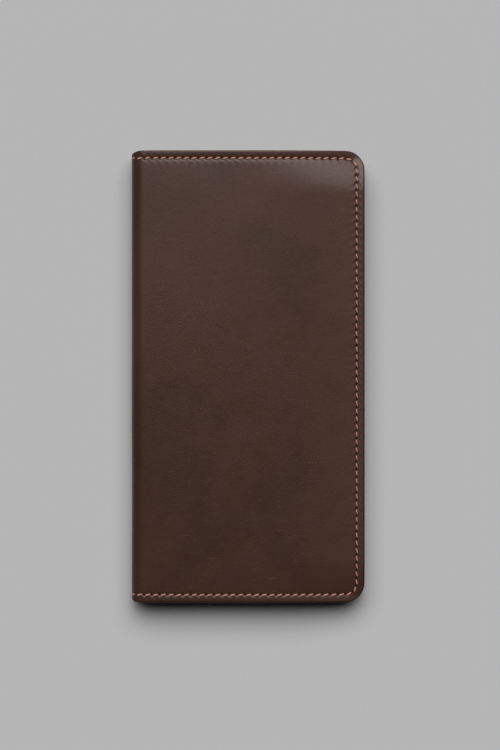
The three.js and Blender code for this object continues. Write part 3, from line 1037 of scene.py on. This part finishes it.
class WALLET_OT_covers(Operator):
    """Makes the cover leather of both halves, each running halfway round the spine"""

    bl_idname = "wallet.covers"
    bl_label = "Covers"

    def execute(self, context):
        bench = Bench(context.scene)
        leather, seam, material = bench.leather, bench.seam, bench.finish["cover_leather"]
        outline = strip_outline(0, leather, 1.8 * MM, 4)
        profile = edge_profile(SEAM_RINGS, leather.edge_round, COVER_THICK)
        for half, seed in ((bench.back, 4.4), (bench.front, 1.3)):

            def hole(x, y):
                return pricked(seam, x, y, -bench.sewing.slant)

            def place(x, y, inset, level):
                x = to_join(x, inset, leather.edge_round)
                offset = seam.offset(x, y)
                towards_head = smooth((y / HEAD_Y + 1) / 2)
                channel = (0.04 + 0.03 * towards_head) * bump(offset, 1.0 * MM)
                swell = (0.02 + 0.03 * towards_head) * pucker(seam, x, y)
                sunk = channel + 0.42 * hole(x, y) - swell + 0.07 * ripple(x, y, seed)
                raised = (0.03 + 0.07 * towards_head) * smooth(-offset / (2.4 * MM))
                lip = raised * smooth((x - BEND_X) / (6 * MM))
                shaped = (sunk * smooth(inset / (1.2 * MM)) - lip) * MM
                return half.strip(x, trim(x, y), level * COVER_THICK + (1 - level) * shaped)

            def marks(x, y, inset, level):
                edge = leather_edge(rim_distance(x, y, leather.corner_radius), level)
                # Painted shade beside the spine, where the cover turns up it.
                spine = 0.2 * smooth((BEND_X - x) / (BEND_LENGTH * 0.8))
                return flat_marks(x, y, 0, half.front, edge, hole(x, y) * (level < 0.02), spine)

            piece = sheet(half.side + "_cover_leather", outline, profile, place, marks, material)
            nodes = ("front_cover", "spine_cover") if half.front else ("back_cover",)
            bend_piece(piece, "cover_leather", half.front, *nodes)
        return {"FINISHED"}


class WALLET_OT_linings(Operator):
    """Makes the woven lining of both halves"""

    bl_idname = "wallet.linings"
    bl_label = "Linings"

    def execute(self, context):
        bench = Bench(context.scene)
        material = bench.finish["lining_cloth"]
        margin, rounding = 0.5 * MM, 0.15 * MM
        outline = strip_outline(margin, bench.leather, 2.6 * MM, 2)
        profile = edge_profile(PLAIN_RINGS, rounding, LINING_THICK, 3)
        for half in (bench.back, bench.front):

            def place(x, y, inset, level):
                x = to_join(x, inset, rounding)
                loose = fullness(x, y, 4 * MM, 12 * MM, 12 * MM) * (1 + ripple(x * 1.7, y * 1.3, 2.2))
                return half.strip(x, trim(x, y), SEWN_LINING + 0.06 * MM * loose + level * LINING_THICK)

            def marks(x, y, inset, level):
                return flat_marks(x, y, 1, half.front)

            piece = sheet(half.side + "_lining_cloth", outline, profile, place, marks, material)
            nodes = ("front_lining", "spine_lining") if half.front else ("back_lining",)
            bend_piece(piece, "lining_cloth", half.front, *nodes)
        return {"FINISHED"}


def inner_panel(bench, name, node, half, box, base, layer, thick=PAGE_THICK, straight=None):
    """A leather panel inside one half, sewn down round its outer edges.

    Its spine side is free, with a pressed line beside it, or follows the straight seam where there is one.
    """
    leather, seam, slant = bench.leather, bench.seam, bench.sewing.slant
    low_x, high_x = box[0].x, box[1].x
    small, rounding, groove_inset = 0.5 * MM, 0.3 * MM, 1.3 * MM
    radius = leather.corner_radius if high_x > EDGE_X - 1e-6 else small
    rings = SEAM_RINGS if high_x - low_x > 20 * MM else NARROW_RINGS
    outline = Outline((low_x, -HEAD_Y), (high_x, HEAD_Y), (small, radius, radius, small), 2.0 * MM, 3)

    def hole(x, y):
        found = pricked(seam, x, y, slant)
        return found if straight is None else np.maximum(found, pricked(straight, x, y, slant))

    def groove(x):
        return bump(x - low_x - groove_inset, 0.3 * MM) * (straight is None)

    def place(x, y, inset, level):
        sunk = 0.3 * hole(x, y) + 0.12 * groove(x) + 0.1 * bump(seam.offset(x, y), 0.9 * MM)
        sunk *= smooth(inset / (0.9 * MM))
        raised = thick + (0.05 * ripple(x, y, layer * 1.7) - sunk) * MM
        return half.world(x, y, base(x, y) + raised * (1 - level))

    def marks(x, y, inset, level):
        nearest = np.minimum(np.abs(x - low_x), np.abs(x - high_x))
        distance = np.minimum(nearest, rim_distance(x, y, leather.corner_radius))
        return flat_marks(x, y, layer, half.front, leather_edge(distance, level), hole(x, y), groove(x))

    profile = edge_profile(rings, rounding, thick, 3)
    piece = sheet(name, outline, profile, place, marks, bench.finish["inner_leather"])
    settle(piece, "inner_leather", half.body, node)


class WALLET_OT_pages(Operator):
    """Makes the page in each half that closes its bill pocket"""

    bl_idname = "wallet.pages"
    bl_label = "Bill pocket pages"

    def execute(self, context):
        bench = Bench(context.scene)
        inner_panel(bench, "coin_page_leather", "coin_page", bench.back, COIN_PAGE, page_base, 2)
        inner_panel(bench, "card_page_leather", "card_page", bench.front, CARD_PAGE, page_base, 3)
        return {"FINISHED"}


def zip_seam(side, settings):
    """The line of stitches beside the zip, on its spine side or its edge side."""
    low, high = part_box("zip_seam_thread_" + side)
    return StraightSeam((low.x + high.x) / 2, low.y, high.y, settings.pitch * 0.86)


class WALLET_OT_coin_pocket(Operator):
    """Makes the strip, the panel and the slip pocket over the coin pocket"""

    bl_idname = "wallet.coin_pocket"
    bl_label = "Coin pocket"

    def execute(self, context):
        bench = Bench(context.scene)
        inner_panel(
            bench, "coin_strip_leather", "coin_pocket_strip", bench.back, STRIP, strip_base, 4,
            straight=zip_seam("spine_side", bench.sewing),
        )
        inner_panel(
            bench, "coin_panel_leather", "coin_pocket_panel", bench.back, COIN_PANEL, coin_panel_base, 5,
            straight=zip_seam("edge_side", bench.sewing),
        )
        inner_panel(
            bench, "slip_pocket_leather", "slip_pocket_panel", bench.back, SLIP, slip_base, 6,
            thick=SLIP_THICK,
        )
        return {"FINISHED"}


def card_seam(settings):
    """The seam that holds the card pockets down along the page's free edge."""
    return StraightSeam(PAGE_X + 1.5 * MM, -HEAD_Y + SEAM_INSET, MOUTHS[0] + 3 * MM, settings.pitch)


class WALLET_OT_card_pockets(Operator):
    """Makes the shingled card pockets"""

    bl_idname = "wallet.card_pockets"
    bl_label = "Card pockets"

    def execute(self, context):
        bench = Bench(context.scene)
        leather, slant, side_seam = bench.leather, bench.sewing.slant, card_seam(bench.sewing)
        small, rounding = 0.4 * MM, 0.26 * MM
        profile = edge_profile(POCKET_RINGS, rounding, POCKET_THICK, 3)
        for index, mouth in enumerate(MOUTHS):
            last = index == POCKET_COUNT - 1
            foot, corner = (-HEAD_Y, leather.corner_radius) if last else (mouth - TILE_RUN, small)
            outline = Outline((PAGE_X, foot), (EDGE_X, mouth), (small, corner, small, small), 2.0 * MM, 3)

            def hole(x, y):
                return np.maximum(pricked(bench.seam, x, y, slant), pricked(side_seam, x, y, slant))

            def groove(y):
                return bump(mouth - y - 1.45 * MM, 0.3 * MM)

            def place(x, y, inset, level):
                sag = 0.08 * MM * ripple(x, y, index * 2.3 + 0.4) * (level < 0.5)
                sunk = (0.22 * hole(x, y) + 0.13 * groove(y)) * MM * smooth(inset / (0.8 * MM))
                raised = (POCKET_THICK * (1 - level) + sag) * pressed(x) - sunk * (1 - level)
                return bench.front.world(x, y, pocket_base(x, y, index) + raised)

            def marks(x, y, inset, level):
                free = np.minimum(mouth - y, x - PAGE_X)
                distance = np.minimum(free, rim_distance(x, y, leather.corner_radius))
                edge = leather_edge(np.maximum(distance, 0), level)
                return flat_marks(x, y, 7 + index, True, edge, hole(x, y), groove(y))

            name = f"card_pocket_leather_{index + 1}"
            piece = sheet(name, outline, profile, place, marks, bench.finish["inner_leather"])
            settle(piece, "inner_leather", bench.front.body, f"card_pocket_{index + 1}")
        return {"FINISHED"}


class WALLET_OT_seams(Operator):
    """Sews the wallet: separate stitches on the covers and on the pages inside"""

    bl_idname = "wallet.seams"
    bl_label = "Seams"

    def execute(self, context):
        bench = Bench(context.scene)
        self.main_seam(bench, bench.back, back_inner_top, ["back_seam_thread"])
        nodes = ["front_seam_thread", "spine_seam_thread_head", "spine_seam_thread_foot"]
        self.main_seam(bench, bench.front, front_inner_top, nodes)
        self.panel_seam(bench, "card_pocket_stitches", bench.front, card_seam(bench.sewing), front_inner_top)
        for side, base in (("spine_side", strip_base), ("edge_side", coin_panel_base)):

            def panel_top(x, y):
                return base(x, y) + PAGE_THICK

            name, node = "zip_stitches_" + side, "zip_seam_thread_" + side
            self.panel_seam(bench, name, bench.back, zip_seam(side, bench.sewing), panel_top, node)
        return {"FINISHED"}

    def main_seam(self, bench, half, top, nodes):
        """The stitches round one half: on its cover, on its pages, and on the lining beside the spine."""
        settings, seam, thread = bench.sewing, bench.seam, bench.finish["seam_thread"]
        beside_spine = round((PAGE_X + 2 * MM - JOIN_X) / seam.pitch)

        def outside(x, y, rise):
            around = 0.16 * MM * smooth((BEND_X - x) / (4 * MM))
            return half.strip(x, trim(x, y), 0.14 * MM + around - rise)

        def pulled(x, y):
            """The stitches along the opening edge are pulled in harder."""
            straight = smooth((HEAD_Y - bench.leather.corner_radius + 1 * MM - np.abs(y)) / (3 * MM))
            return smooth((x - EDGE_X + 9 * MM) / (3 * MM)) * straight

        def inside(x, y, rise):
            return half.world(x, y, top(x, y) + rise - 0.1 * MM)

        def on_lining(x, y, rise):
            return half.strip(x, trim(x, y), SEWN_LINING + LINING_THICK + rise)

        name = half.side + "_cover_stitches"
        piece = stitches(name, seam, outside, settings, thread, slant=-settings.slant, pulled=pulled)
        bend_piece(piece, "seam_thread", half.front, *nodes)
        first, last = beside_spine, seam.count - beside_spine
        piece = stitches(half.side + "_page_stitches", seam, inside, settings, thread, first, last)
        settle(piece, "seam_thread", half.body)
        for end, start, stop in (("head", 0, first), ("foot", last, seam.count)):
            name = f"{half.side}_lining_stitches_{end}"
            piece = stitches(name, seam, on_lining, settings, thread, start, stop)
            bend_piece(piece, "seam_thread", half.front)

    def panel_seam(self, bench, name, half, line, top, *nodes):
        """A straight line of stitches on the leather inside one half."""

        def on_top(x, y, rise):
            return half.world(x, y, top(x, y) + rise - 0.05 * MM)

        piece = stitches(name, line, on_top, bench.sewing, bench.finish["seam_thread"])
        settle(piece, "seam_thread", half.body, *nodes)


class WALLET_OT_zip(Operator):
    """Makes the zip: tapes, teeth, stops, slider and pull"""

    bl_idname = "wallet.zip"
    bl_label = "Zip"

    def execute(self, context):
        bench = Bench(context.scene)
        metal = bench.finish["zip_metal"]
        for side, direction in (("spine_side", -1), ("edge_side", 1)):
            self.tape(bench, side)
            self.teeth(context.scene.wallet_zip, side, direction, metal)
            self.stop("zip_top_stop_metal_" + side, "zip_top_stop_" + side, 0.35 * MM, metal)
        self.stop("zip_bottom_stop_metal", "zip_bottom_stop", 0.4 * MM, metal)
        self.slider(metal)
        self.pull(metal)
        return {"FINISHED"}

    def tape(self, bench, side):
        low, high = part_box("zip_tape_" + side)
        inner = 1.1 * MM
        if side == "spine_side":
            start, end = max(low.x, STRIP_LEVEL_X), ZIP_X - inner
        else:
            start, end = ZIP_X + inner, high.x
        outline = Outline((start, low.y), (end, high.y), (0.2 * MM,) * 4, 1.2 * MM, 2)
        profile = edge_profile(TAPE_RINGS, 0.12 * MM, TAPE_THICK, 2)

        def place(x, y, inset, level):
            cord = 0.36 * MM * bump(np.abs(x - ZIP_X) - inner - 0.75 * MM, 0.6 * MM)
            middle = tape_base(x, y) + TAPE_THICK / 2
            return bench.back.world(x, y, middle + (TAPE_THICK / 2 + cord) * (1 - 2 * level))

        def marks(x, y, inset, level):
            return flat_marks(x, y, 20, False)

        piece = sheet("zip_tape_cloth_" + side, outline, profile, place, marks, bench.finish["zip_tape"])
        settle(piece, "zip_tape", "back_half", "zip_tape_" + side)

    def teeth(self, settings, side, direction, metal):
        """Waisted teeth with pointed tips. One row is half a pitch ahead of the other, so they interlock."""
        low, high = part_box("zip_teeth_" + side)
        outer, tip = (high.x, low.x) if direction > 0 else (low.x, high.x)
        start = low.y + (settings.tooth_pitch / 2 if direction > 0 else 0)
        neck = tip + direction * 1.5 * MM
        flank = [
            (outer, 1.15), (neck, 1.05), (neck - direction * 0.5 * MM, 0.7),
            (tip + direction * 0.5 * MM, 0.75), (tip + direction * 0.12 * MM, 1.0),
        ]
        half = settings.tooth_length / 2
        shells = []
        for i in range(int((high.y - start) / settings.tooth_pitch)):
            y = start + (i + 0.5) * settings.tooth_pitch
            outline = [(x, y - half * wide) for x, wide in flank] + [(tip, y)]
            outline += [(x, y + half * wide) for x, wide in reversed(flank)]
            shells.append(prism(outline, low.z, high.z))
        piece = bevelled("zip_teeth_metal_" + side, shells, metal, 0.12 * MM, 1)
        settle(piece, "zip_metal", "back_half", "zip_teeth_" + side)

    def stop(self, name, node, rounding, metal):
        low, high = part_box(node)
        shell = box_shell(low.x, high.x, low.y, high.y, low.z, high.z)
        settle(bevelled(name, [shell], metal, rounding), "zip_metal", "back_half", node)

    def slider(self, metal):
        """Two waisted plates with turned-in sides, and the bridge."""
        low, high = SLIDER
        half, y0, y1 = (high.x - low.x) / 2, low.y, high.y
        waist, shoulder_y = half * 0.74, (y0 + y1) / 2 + 1.2 * MM
        flank = [
            (waist, y0), (waist + 0.1 * MM, y0 + 2.2 * MM), (half, shoulder_y), (half, y1 - 1.3 * MM),
            (half - 1.2 * MM, y1), (half * 0.3, y1 - 0.5 * MM),
        ]
        outline = [(ZIP_X + x, y) for x, y in flank] + [(ZIP_X - x, y) for x, y in reversed(flank)]
        plate, lip, shy = 0.7 * MM, 0.45 * MM, 0.1 * MM
        bottom, top = low.z, 2 * ZIP_Z - low.z
        shells = [prism(outline, bottom, bottom + plate), prism(outline, top - plate, top)]
        for z0, z1 in ((bottom + shy, bottom + plate + lip), (top - plate - lip, top - shy)):
            for side in (-1, 1):
                x0, x1 = sorted(ZIP_X + side * (half - inset) for inset in (0.05 * MM, 0.6 * MM))
                shells.append(box_shell(x0, x1, shoulder_y, y1 - 1.4 * MM, z0, z1))
        piece = bevelled("zip_slider_metal", shells + self.bridge(top), metal, 0.16 * MM)
        settle(piece, "zip_metal", "zip_slider", "zip_slider")

    def bridge(self, top):
        """The loop on the slider's top plate: an arch of blocks from one leg to the other."""
        middle, crown = (SLIDER[0].y + SLIDER[1].y) / 2, SLIDER[1].z
        reach, wide, foot = 2.6 * MM, 0.55 * MM, top - 0.3 * MM
        outer = [(-reach, foot), (-reach, crown - 0.55 * MM), (-reach + 0.6 * MM, crown)]
        within = -reach + 0.8 * MM
        inner = [(within, foot), (within, crown - 0.6 * MM), (within + 0.2 * MM, crown - 0.5 * MM)]
        outer += [(-y, z) for y, z in reversed(outer)]
        inner += [(-y, z) for y, z in reversed(inner)]
        shells = []
        for k in range(len(outer) - 1):
            quad = [outer[k], outer[k + 1], inner[k + 1], inner[k]]
            points = [(ZIP_X + side * wide, middle + y, z) for side in (-1, 1) for y, z in quad]
            round_faces = [(i, (i + 1) % 4, 4 + (i + 1) % 4, 4 + i) for i in range(4)]
            shells.append((points, [(0, 1, 2, 3), (7, 6, 5, 4)] + round_faces))
        return shells

    def pull(self, metal):
        """A square frame round the eye that the bridge goes through, and a waisted tab with a round hole."""
        low, high = PULL
        half, hole_radius, steps = (high.x - low.x) / 2, 1.0 * MM, 28
        eye_y, eye_half_x, eye_half_y = high.y - 2.7 * MM, 1.45 * MM, 1.5 * MM
        split = eye_y - eye_half_y - 1.2 * MM
        frame_y, frame_half_y = (split + high.y) / 2, (high.y - split) / 2
        centre = low.y + half
        frame_outer, eye, tab, hole = [], [], [], []
        for i in range(steps):
            a = 2 * math.pi * (i + 0.5) / steps
            c, s = math.cos(a), math.sin(a)
            square = max(abs(c), abs(s))
            frame_outer.append((ZIP_X + half * c / square, frame_y + frame_half_y * s / square))
            eye.append((ZIP_X + eye_half_x * c / square, eye_y + eye_half_y * s / square))
            along = min(1, s * 1.8)
            if s < 0:
                tab.append((ZIP_X + half * c, centre + half * s))
            else:
                wide = half * np.clip(c * 2.2, -1, 1) * (1 - 0.16 * math.sin(along * math.pi))
                tab.append((ZIP_X + wide, centre + (split - centre) * along))
            hole.append((ZIP_X + hole_radius * c, centre + hole_radius * s))
        shells = [holed_prism(frame_outer, eye, low.z, high.z), holed_prism(tab, hole, low.z, high.z)]
        settle(bevelled("zip_pull_metal", shells, metal, 0.14 * MM), "zip_metal", "zip_pull", "zip_pull")


class WALLET_OT_stage(Operator):
    """Sets out the camera, the floor and the soft light"""

    bl_idname = "wallet.stage"
    bl_label = "Stage"

    def execute(self, context):
        settings = context.scene.wallet_stage
        context.scene.view_settings.view_transform = "Standard"
        self.camera(context, settings)
        self.floor(settings)
        self.light(context, settings)
        return {"FINISHED"}

    def camera(self, context, settings):
        data = bpy.data.cameras.new("camera")
        data.lens = data.sensor_width * settings.camera_height / settings.view_length
        data.clip_start, data.clip_end = 0.05, 200
        camera = bpy.data.objects.new("camera", data)
        camera.location = (0.8 * MM, 0.65 * MM, THICKNESS + settings.camera_height)
        context.scene.collection.objects.link(camera)
        context.scene.camera = camera

    def floor(self, settings):
        n = Nodes("plain_floor")
        place = n.scaled(n.add("TexCoord").outputs["Object"], 1000)
        fine = n.noise(place, 0.8, 3, 0.6)
        tone = tuple(settings.floor_tone)
        color = n.mix(n.range(fine, 0.3, 0.7), shade(tone, 0.99), shade(tone, 1.01))
        material = n.finish(color, 0.9, Specular_IOR_Level=0.2)
        size = 60.0
        corners = [(-size, -size, 0), (size, -size, 0), (size, size, 0), (-size, size, 0)]
        mesh = bpy.data.meshes.new("floor")
        mesh.from_pydata(corners, [], [(0, 1, 2, 3)])
        mesh.materials.append(material)
        floor = bpy.data.objects.new("floor", mesh)
        bpy.context.scene.collection.objects.link(floor)
        floor.location.z = CAD_BOX[0].z - 0.06 * MM  # just under the lowest stitches

    def light(self, context, settings):
        for name, side in (("soft_light_left", 1), ("soft_light_right", -1)):
            data = bpy.data.lights.new(name, "SUN")
            data.energy = settings.light_strength
            data.angle = settings.light_spread
            light = bpy.data.objects.new(name, data)
            light.rotation_euler = (-settings.light_tilt, 0, side * settings.light_turn)
            context.scene.collection.objects.link(light)
        world = bpy.data.worlds.new("studio")
        world.use_nodes = True
        tree = world.node_tree
        level = tree.nodes.new("ShaderNodeMapRange")
        tree.links.new(tree.nodes.new("ShaderNodeLightPath").outputs["Is Camera Ray"], level.inputs[0])
        for socket, number in zip(level.inputs[1:5], (0.0, 1.0, settings.fill, settings.backdrop)):
            socket.default_value = number
        tree.links.new(level.outputs[0], tree.nodes["Background"].inputs[1])
        tree.nodes["Background"].inputs[0].default_value = (1, 1, 1, 1)
        context.scene.world = world


class WALLET_PT_build(Panel):
    """The wallet's settings and build steps"""

    bl_label = "Long Wallet"
    bl_idname = "WALLET_PT_build"
    bl_space_type = "VIEW_3D"
    bl_region_type = "UI"
    bl_category = "Wallet"

    def draw(self, context):
        layout = self.layout
        for group in (getattr(context.scene, name) for name in SETTINGS):
            box = layout.box()
            for name in group.__annotations__:
                box.prop(group, name)
        for operator in OPERATORS:
            layout.operator(operator.bl_idname)


SETTINGS = {
    "wallet_leather": WalletLeatherSettings,
    "wallet_seam": WalletSeamSettings,
    "wallet_zip": WalletZipSettings,
    "wallet_stage": WalletStageSettings,
}
OPERATORS = (
    WALLET_OT_stage, WALLET_OT_covers, WALLET_OT_linings, WALLET_OT_pages,
    WALLET_OT_coin_pocket, WALLET_OT_card_pockets, WALLET_OT_zip, WALLET_OT_seams,
)


def register():
    for cls in (*SETTINGS.values(), *OPERATORS, WALLET_PT_build):
        bpy.utils.register_class(cls)
    for name, group in SETTINGS.items():
        setattr(bpy.types.Scene, name, PointerProperty(type=group))


def unregister():
    for name in SETTINGS:
        delattr(bpy.types.Scene, name)
    for cls in (WALLET_PT_build, *reversed(OPERATORS), *SETTINGS.values()):
        bpy.utils.unregister_class(cls)


def main():
    for leftover in ("Cube", "Light", "Camera"):
        if leftover in bpy.data.objects:
            bpy.data.objects.remove(bpy.data.objects[leftover])
    register()
    bpy.ops.wallet.stage()
    bpy.ops.wallet.covers()
    bpy.ops.wallet.linings()
    bpy.ops.wallet.pages()
    bpy.ops.wallet.coin_pocket()
    bpy.ops.wallet.card_pockets()
    bpy.ops.wallet.zip()
    bpy.ops.wallet.seams()


if __name__ == "__main__":
    main()
